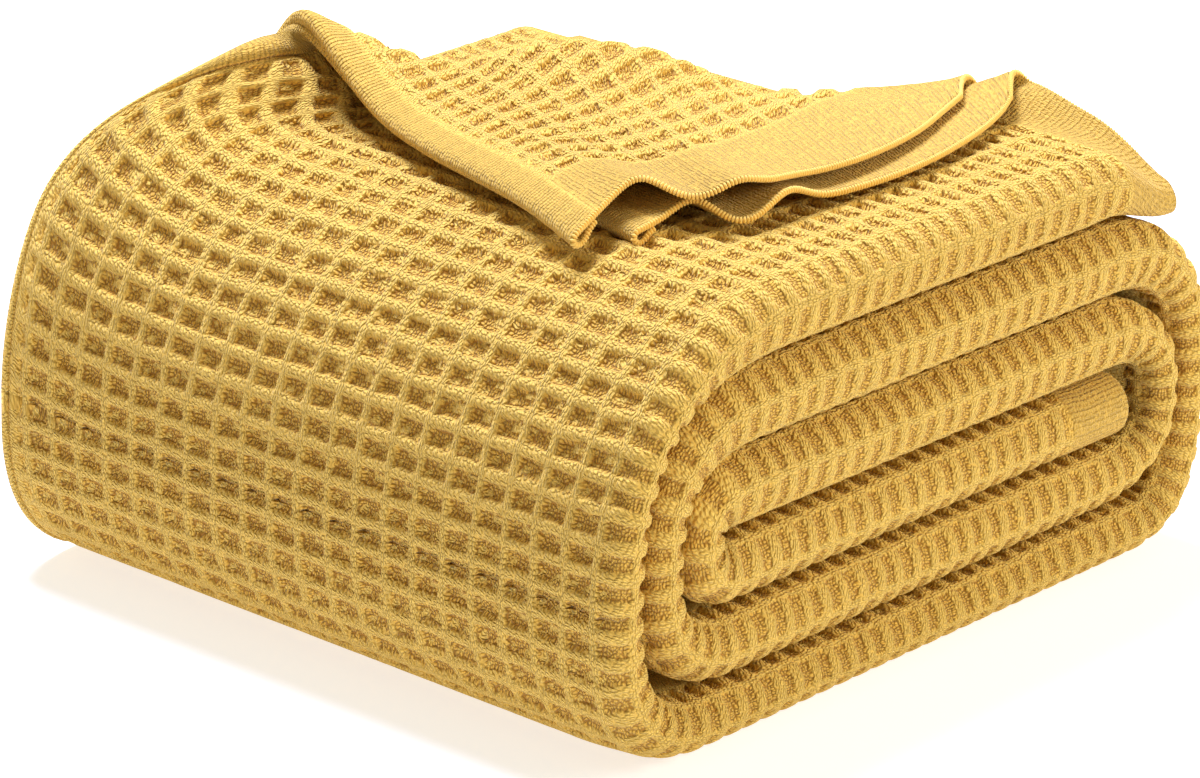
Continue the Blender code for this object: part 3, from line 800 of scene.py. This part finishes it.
# The thread is mottled at random between the cloth's colour and this lighter one. The lighter one is
# painted light, which makes up for the shade that the edge stitches lie in.
STITCHING_PAINTED_LIGHT_COLOUR = (0.96, 0.680, 0.180, 1.0)
STITCHING_LOOK = {"Roughness": 0.9, "Sheen Weight": 0.2}
STITCHING_MOTTLE_SCALE = 2200.0
STITCH_SPACING = 0.0012
STITCH_SIZE = (0.00055, 0.0009, 0.0012)  # half sizes along the edge, into the cloth and through it
STITCH_SUBDIVISIONS = 2
EDGE_Y = -0.1225  # beyond it the layers turn into the near fold


def stitching_cotton():
    material = new_material("stitching_cotton", STITCHING_LOOK)
    nodes = Nodes(material.node_tree)
    place = nodes.add("ShaderNodeTexCoord").outputs["Object"]
    mottle = nodes.noise(place, STITCHING_MOTTLE_SCALE, colour=False)
    # Random mottle between the cloth's colour and the lighter one, which is painted light.
    colour = nodes.mix(mottle, RIDGE_COLOUR, STITCHING_PAINTED_LIGHT_COLOUR, "RGBA")
    nodes.put(material.node_tree.nodes["Principled BSDF"].inputs["Base Color"], colour)
    return material


def overcast_edge():
    inputs = {"Spacing": "Float", "Size": "Vector"}
    tree, nodes, given = geometry_tree("overcast_edge", inputs)
    edge = nodes.add("GeometryNodeMeshToCurve", given["Geometry"]).outputs[0]
    evenly = {"Curve": edge, "Length": given["Spacing"]}
    spaced = nodes.named("GeometryNodeResampleCurve", evenly, mode="LENGTH")
    outward = {"Vector": named_attribute(nodes, "outward", "FLOAT_VECTOR")}
    upright = nodes.named("FunctionNodeAlignRotationToVector", outward, axis="Z")
    tangent = nodes.add("GeometryNodeInputTangent").outputs[0]
    onward = {"Rotation": upright, "Vector": tangent}
    turned = nodes.named("FunctionNodeAlignRotationToVector", onward, axis="X", pivot_axis="Z")
    ball = {"Radius": 1.0, "Subdivisions": STITCH_SUBDIVISIONS}
    ball = nodes.named("GeometryNodeMeshIcoSphere", ball)
    loop = nodes.add("GeometryNodeSetShadeSmooth", ball).outputs[0]
    placed = {"Points": spaced, "Instance": loop, "Rotation": turned, "Scale": given["Size"]}
    loops = nodes.named("GeometryNodeInstanceOnPoints", placed)
    dressed_output(nodes, loops, given["Material"])
    return tree


OVERCAST = overcast_edge()
STITCHING = stitching_cotton()


def overcast(name, sheet):
    """Stitches round the sheet's last row, up to where it turns into the near fold."""
    points, thread = sheet[0], sheet[1]
    shown = thread[-1, :, 1] > EDGE_Y
    row = points[-1][shown].tolist()
    steps = [(i, i + 1) for i in range(len(row) - 1)]
    obj = new_object(name, row, steps, outward=surface_normals(points)[-1][shown])
    sizes = {"Spacing": STITCH_SPACING, "Size": STITCH_SIZE}
    made_plain(obj, OVERCAST, {**sizes, "Material": STITCHING})
    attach(obj, "root")
    return obj


# ---------------------------------------------------------------- the outer turn
# The first layer of the last turn, which is nearly all that shows of the side and the top. It
# goes round the near fold into the fourth layer, and its far corner is part of the turned one.

ROWS_PER_CELL = 8
COLUMNS_PER_CELL = 9
OUTER_TURN_FROM = 0.995  # run
LOWER_PART_TO = 1.235
NEAR_RISE = 0.003  # of the lowest band's near fold above the surface
NEAR_RISE_DEEP = 0.035
NEAR_RISE_HIGH = 0.022
END_INSET = 0.004  # of the near fold at the free end
OPEN_DROP = 0.013  # of the free end's far part
OPEN_DROP_FROM = -0.060
OPEN_DROP_WIDTH = 0.080
BENT_BEFORE = 0.002  # of the near fold's start
BENT_OVER = 0.008
RELIEF_INTO_END_HEM = 0.002
RELIEF_OVER = 0.006
END_HEM_LINE = 0.002
FIRST_SELVAGE = 0.004  # without relief
FIRST_NEAR_FOLD = (4, 22)  # columns before the bend and round it
HEM_IN_ROLL = 0.25  # size of the side hem in the roll, where it lies pressed in
HEM_GROWS_FROM = ROLL_LENGTH - TOP_START - 0.112
HEM_GROWS_OVER = 0.025
HEM_PLY = 0.0018
HEM_PLY_TO = 0.003  # from the edge, thickening to the cloth beyond
HEM_PLY_THICKENS_OVER = 0.012
SIDE_HEM_LINE = 0.004
SIDE_HEM_LINE_BEFORE = 0.001
EDGE_SINK = 0.0060  # of the first layer's far edge, most at the roll's shoulder
EDGE_SINK_OVER = 0.020
SHOULDER_RUN = ROLL_LENGTH + 0.050
SHOULDER_REACH = 0.035
# Distance from the cloth's edge and height over it of the turned-under side hem
HEM_PROFILE = (
    (0.0100, 0.0021),
    (0.0082, 0.0025),
    (0.0064, 0.0033),
    (0.0048, 0.0041),
    (0.0034, 0.0045),
    (0.0020, 0.0043),
    (0.0009, 0.0036),
    (0.0002, 0.0026),
    (0.0000, 0.0016),
    (0.0005, 0.0008),
    (0.0014, 0.0002),
    (0.0026, 0.0000),
)
HEM_COLUMNS = np.array((0.0, 0.0040, 0.0055, 0.0070, 0.0085, 0.0100, 0.0112))
WOVEN_COLUMNS_FROM = 0.0125


def shift_to_middle():
    """Way along x that brings the roll over the middle of its box."""
    x, out_x, thick = (column[PATH[0] <= ROLL_LENGTH] for column in (PATH[1], PATH[3], PATH[5]))
    reach = 0.5 * thick
    return -0.5 * (float((x + out_x * reach).min()) + float((x + out_x * reach).max()))


SHIFT = shift_to_middle()


def settled(points):
    """The points over the middle of the box, with the lowest band's near fold a little raised."""
    points = points.copy()
    points[..., 0] += SHIFT
    deep = smooth_step((points[..., 1] - NEAR_Y) / NEAR_RISE_DEEP)
    high = smooth_step(points[..., 2] / NEAR_RISE_HIGH)
    points[..., 2] += NEAR_RISE * (1.0 - deep) * (1.0 - high)
    return points


def rows_between(start, end, per_cell, spare=(0, 0)):
    rows = np.linspace(start, end, max(2, round((end - start) / CELL_RUN * per_cell) + 1))
    step = rows[1] - rows[0]
    before = start - step * np.arange(spare[0], 0, -1)
    after = end + step * np.arange(1, spare[1] + 1)
    return np.concatenate((before, rows, after))


def columns_between(start, end, per_cell):
    return np.linspace(start, end, max(2, round(abs(end - start) / CELL_ACROSS * per_cell) + 1))


def from_end_hem(run):
    return np.minimum(run, CLOTH_LENGTH - run)[:, None] - HEM_LENGTH


def band_at(run):
    """(pitch, cloth thickness, y of the near fold's start), a column each, at every run."""
    woven = smooth_step((from_end_hem(run) + HEM_BLEND) / HEM_BLEND)
    cloth = HEM_THICK + (WAFFLE_THICK - HEM_THICK) * woven
    pitch = (on_path(run, 5)[:, None] - cloth) / 3.0
    near = NEAR_Y + END_INSET * near_free_end(run - ROLL_LENGTH + TOP_START)[:, None]
    return pitch, cloth, near + 1.5 * pitch + 0.5 * cloth


def bent_at(run, y):
    """How far the near fold stretches the weave: most where it faces away from the roll."""
    return smooth_step((band_at(run)[2] + BENT_BEFORE - y) / BENT_OVER)


def layer_grid(run, pitches, ys, near_fold=()):
    """Offset, y and place across the cloth of a layer's columns, so many pitches from the middle
    of its band. After the straight ones they may go on round the near fold to the layer below."""
    pitch, _, near = band_at(run)
    reach = pitch * pitches
    y = np.broadcast_to(ys, (len(run), len(ys)))
    offset = np.broadcast_to(reach, y.shape)
    if not near_fold:
        return offset, y, y
    straight = np.linspace(0.0, 1.0, near_fold[0] + 1)[None, 1:]
    angle = np.linspace(0.0, math.pi, near_fold[1] + 1)[None, 1:]
    down = EDGE_Y + (near - EDGE_Y) * straight
    back = near + (EDGE_Y - near) * straight
    parts = (
        (offset, y, y),
        (0 * down + reach, down, down),
        (reach * np.cos(angle), near - reach * np.sin(angle), near - reach * angle),
        (0 * back - reach, back, near - reach * math.pi - (back - near)),
    )
    return (np.concatenate(values, axis=1) for values in zip(*parts))


def laid(run, offset, y):
    """Points of the folded cloth, offset from the middle of its band."""
    x, z, out_x, out_z = (on_path(run, column)[:, None] for column in (1, 2, 3, 4))
    x, z = x + out_x * offset, z + out_z * offset
    top = (run >= ROLL_LENGTH)[:, None]
    open_drop = OPEN_DROP * smooth_step((y - OPEN_DROP_FROM) / OPEN_DROP_WIDTH) * near_free_end(x)
    z = z - np.where(top, drop_at(x, y) + open_drop, 0.0)
    return np.stack((x, y, z), axis=-1)


def relief_at(run, y, selvage=0.0):
    """How much waffle relief the cloth has: none on its hems."""
    amount = smooth_step((from_end_hem(run) + RELIEF_INTO_END_HEM) / RELIEF_OVER)
    return amount * smooth_step((FAR_Y - y - selvage) / RELIEF_OVER)


def layer_sheet(run, points, y, across, waffle, bent=0.0, side_hem=0.0):
    """The arrays that cloth_shell takes, for a grid of points with their y and place across."""
    whole = np.zeros(y.shape)
    end_hem = 1.0 - smooth_step((from_end_hem(run) + 0.5 * END_HEM_LINE) / END_HEM_LINE)
    thread = np.stack((whole + run[:, None], across), axis=-1)
    hems = np.stack((whole + side_hem, whole + end_hem), axis=-1)
    return settled(points), thread, waffle, whole + bent, hems, whole + band_at(run)[1]


def side_hemmed(run, ys, sheet):
    """The sheet with its side hem turned under, on the outer side. Its first column is the edge."""
    points, thread, waffle, bent, hems, thick = sheet
    shown = smooth_step((run - HEM_GROWS_FROM) / HEM_GROWS_OVER)[:, None]
    size = HEM_IN_ROLL + (1.0 - HEM_IN_ROLL) * shown
    inward, height = np.array(HEM_PROFILE).T
    away = size * inward
    column = np.interp(away, FAR_Y - ys, np.arange(len(ys)))
    first = np.minimum(column.astype(int), len(ys) - 2)
    part = (column - first)[..., None]
    rows = np.arange(len(run))[:, None]

    def at_hem(values):
        return values[rows, first] * (1.0 - part) + values[rows, first + 1] * part

    normals = surface_normals(points)
    deepest = EDGE_SINK * np.exp(-(((run - SHOULDER_RUN) / SHOULDER_REACH) ** 2))[:, None]
    sink = deepest * np.clip(1.0 - (FAR_Y - thread[..., 1]) / EDGE_SINK_OVER, 0.0, 1.0) ** 2
    points = points - normals * sink[..., None]
    turned = at_hem(points) + normals[rows, first] * (size * height)[..., None]
    folded = np.r_[np.cumsum(np.hypot(*np.diff(HEM_PROFILE[::-1], axis=0).T))[::-1], 0.0]
    across = FAR_Y + size * folded - away[:, -1:]
    turned_thread = np.stack((at_hem(thread)[..., 0], across), axis=-1)
    beside = np.broadcast_to(FAR_Y - thread[..., 1], thick.shape)
    far_part = np.arange(points.shape[1]) < len(ys)
    past_line = beside / size - HEM_PROFILE[0][0] + SIDE_HEM_LINE_BEFORE
    side = np.where(far_part, 1.0 - smooth_step(past_line / SIDE_HEM_LINE), 0.0)
    thickened = smooth_step((beside - HEM_PLY_TO) / HEM_PLY_THICKENS_OVER)
    thin = np.where(far_part, HEM_PLY + (thick - HEM_PLY) * thickened, thick)
    hems = np.stack((side * shown, hems[..., 1] * (1.0 - side)), axis=-1)
    none = np.zeros(across.shape)
    ply = np.stack((none + shown, none), axis=-1)
    extra = turned, turned_thread, none, none, ply, none + HEM_PLY
    full = points, thread, waffle * (1.0 - side), bent, hems, thin
    keep = int((FAR_Y - ys <= HEM_PROFILE[-1][0] + 1e-9).sum())
    return tuple(np.concatenate((new, old[:, keep:]), axis=1) for new, old in zip(extra, full))


WOVEN_YS = columns_between(FAR_Y - WOVEN_COLUMNS_FROM, EDGE_Y, COLUMNS_PER_CELL)
CORNER_YS = np.r_[FAR_Y - HEM_COLUMNS, WOVEN_YS]


def first_layer(run):
    """The first layer and the near fold, with the side hem turned under."""
    offset, y, across = layer_grid(run, 1.5, CORNER_YS, FIRST_NEAR_FOLD)
    points = laid(run, offset, y)
    top = run >= ROLL_LENGTH
    if top.any():
        width = len(CORNER_YS) + FIRST_NEAR_FOLD[0]
        flat_y = y[top][:, :width]
        place = np.broadcast_to((run[top] - ROLL_LENGTH + TOP_START)[:, None], flat_y.shape)
        points[np.ix_(top, np.arange(width))] = corner_points(1, place, flat_y)
    waffle = relief_at(run, y, FIRST_SELVAGE)
    return side_hemmed(run, CORNER_YS, layer_sheet(run, points, y, across, waffle, bent_at(run, y)))


def finish_cloth(obj):
    # Nothing of the piece reaches below the surface that the blanket lies on
    for vertex in obj.data.vertices:
        vertex.co.z = max(vertex.co.z, 0.0)
    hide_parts("blanket")
    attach(obj, "root")


for part_name, part_from, part_to, spare in (
    ("outer_turn_below", OUTER_TURN_FROM, LOWER_PART_TO, (1, 1)),
    ("outer_turn_side", LOWER_PART_TO, ROLL_LENGTH, (1, 1)),
    ("outer_turn_above", ROLL_LENGTH, CLOTH_LENGTH, (1, 0)),
):
    part_run = rows_between(part_from, part_to, ROWS_PER_CELL, spare)
    layer = first_layer(part_run)
    outer_turn = cloth_shell(part_name, layer, coarse=3, spare=spare)
    at_end = [overcast("first_end_stitches", layer)] if part_to == CLOTH_LENGTH else []
    finish_cloth(outer_turn)


# ---------------------------------------------------------------- the second layer's corner
# The second layer lies under the first, so that it comes on top where the corner is turned
# back, with the side that faced the roll now up. It ends short of the first layer's hem.

SECOND_FROM = ROLL_LENGTH + 0.03
SECOND_SELVAGE = 0.0115
SECOND_NEAR_FOLD = (2, 6)


def second_layer(run):
    offset, y, across = layer_grid(run, 0.5, CORNER_YS, SECOND_NEAR_FOLD)
    points = laid(run, offset, y)
    width = len(CORNER_YS)
    flat_y = y[:, :width]
    share = (run - run[0]) / (run[-1] - run[0])
    start = run[0] - ROLL_LENGTH + TOP_START
    place = start + (hem_place(2, flat_y) - start) * share[:, None]
    points[:, :width] = corner_points(2, place, flat_y)
    waffle = relief_at(run, y, SECOND_SELVAGE)
    sheet = layer_sheet(run, points, y, across, waffle, bent_at(run, y))
    sheet[1][:, :width, 0] = place - TOP_START + ROLL_LENGTH
    return side_hemmed(run, CORNER_YS, sheet)


second_run = rows_between(SECOND_FROM, CLOTH_LENGTH, ROWS_PER_CELL)
second_sheet = second_layer(second_run)
second_layer_corner = cloth_shell("second_layer_corner", second_sheet, fine="inner", coarse=2)
second_stitches = overcast("second_end_stitches", second_sheet)
finish_cloth(second_layer_corner)


# ---------------------------------------------------------------- layers under the corner
# The third and fourth layers of the top band, one piece of cloth round the inner far fold:
# the third one's face shows behind the turned corner, and the fold at the far end.

PLAIN_COLUMNS = 8
FAR_FOLD_STEPS = 8
FAR_STRIP_FROM = 0.112
THIRD_SHOWN_FROM = EDGE_Y + 0.01
STRIP_EDGE = 0.004


def far_columns(fine_from, per_cell):
    """Share of the way from the near fold to the far one: close together from fine_from on."""
    plain = np.linspace(0.0, 1.0, PLAIN_COLUMNS + 1)[:-1] * (fine_from - EDGE_Y)
    fine = columns_between(fine_from, FAR_Y, per_cell) - EDGE_Y
    return np.r_[plain, fine] / (FAR_Y - EDGE_Y)


def lower_layers(run, third_from, fourth_from, per_cell):
    """Third layer, far fold and fourth layer, with relief only beyond the two given y."""
    pitch, cloth, _ = band_at(run)
    radius = 0.5 * pitch
    far = FAR_Y - radius - 0.5 * cloth
    angle = np.linspace(0.0, math.pi, FAR_FOLD_STEPS + 1)[None, 1:-1]
    out = EDGE_Y + (far - EDGE_Y) * far_columns(third_from, per_cell)
    back = (EDGE_Y + (far - EDGE_Y) * far_columns(fourth_from, per_cell))[:, ::-1]
    parts = (
        (0 * out - radius, out, out),
        (-pitch + radius * np.cos(angle), far + radius * np.sin(angle), far + radius * angle),
        (0 * back - 1.5 * pitch, back, far + radius * math.pi + (far - back)),
    )
    offset, y, across = (np.concatenate(values, axis=1) for values in zip(*parts))
    on_third = np.arange(y.shape[1]) < y.shape[1] - back.shape[1]
    woven_from = np.where(on_third, third_from, fourth_from)
    waffle = relief_at(run, 0.0 * y) * smooth_step((y - woven_from) / STRIP_EDGE)
    return layer_sheet(run, laid(run, offset, y), y, across, waffle)


top_run = rows_between(ROLL_LENGTH, CLOTH_LENGTH, ROWS_PER_CELL, (1, 0))
top_layers = lower_layers(top_run, THIRD_SHOWN_FROM, FAR_STRIP_FROM, COLUMNS_PER_CELL)
layers_under_corner = cloth_shell("layers_under_corner", top_layers, coarse=3, spare=(1, 0))
finish_cloth(layers_under_corner)


# ---------------------------------------------------------------- inner turns
# The turns inside the outer one: only their near folds show, packed on the roll's near end,
# and their side hems and inner folds at the far end. What lies between is smooth cloth.

ROWS_IN_ROLL = 6
IN_ROLL_NEAR_FOLD = (4, 20)
SELVAGE_LINE = 0.001


def plain_layer(run, pitches, near_fold=()):
    """A layer that has relief only on its far strip and round its near fold."""
    ys = EDGE_Y + (FAR_Y - EDGE_Y) * far_columns(FAR_STRIP_FROM, ROWS_IN_ROLL)[::-1]
    offset, y, across = layer_grid(run, pitches, ys, near_fold)
    at_far_strip = smooth_step((y - FAR_STRIP_FROM) / STRIP_EDGE)
    at_near_fold = smooth_step((EDGE_Y + STRIP_EDGE - y) / STRIP_EDGE)
    waffle = relief_at(run, y, FIRST_SELVAGE) * np.maximum(at_far_strip, at_near_fold)
    selvage = smooth_step((y - FAR_Y + FIRST_SELVAGE) / SELVAGE_LINE)
    return layer_sheet(run, laid(run, offset, y), y, across, waffle, bent_at(run, y), selvage)


inner_run = rows_between(0.0, OUTER_TURN_FROM, ROWS_PER_CELL, (0, 1))
inner_first = plain_layer(inner_run, 1.5, IN_ROLL_NEAR_FOLD)
first_layers = cloth_shell("first_layers_in_roll", inner_first, coarse=3, spare=(0, 1))
finish_cloth(first_layers)

second_in_roll = rows_between(0.0, SECOND_FROM, ROWS_IN_ROLL)
second_layers = cloth_shell("second_layers_in_roll", plain_layer(second_in_roll, 0.5), coarse=3)
finish_cloth(second_layers)

lower_in_roll = rows_between(0.0, ROLL_LENGTH, ROWS_IN_ROLL, (0, 1))
lower_sheet = lower_layers(lower_in_roll, FAR_STRIP_FROM, FAR_STRIP_FROM, ROWS_IN_ROLL)
lower_layers_in_roll = cloth_shell("lower_layers_in_roll", lower_sheet, coarse=3, spare=(0, 1))
finish_cloth(lower_layers_in_roll)
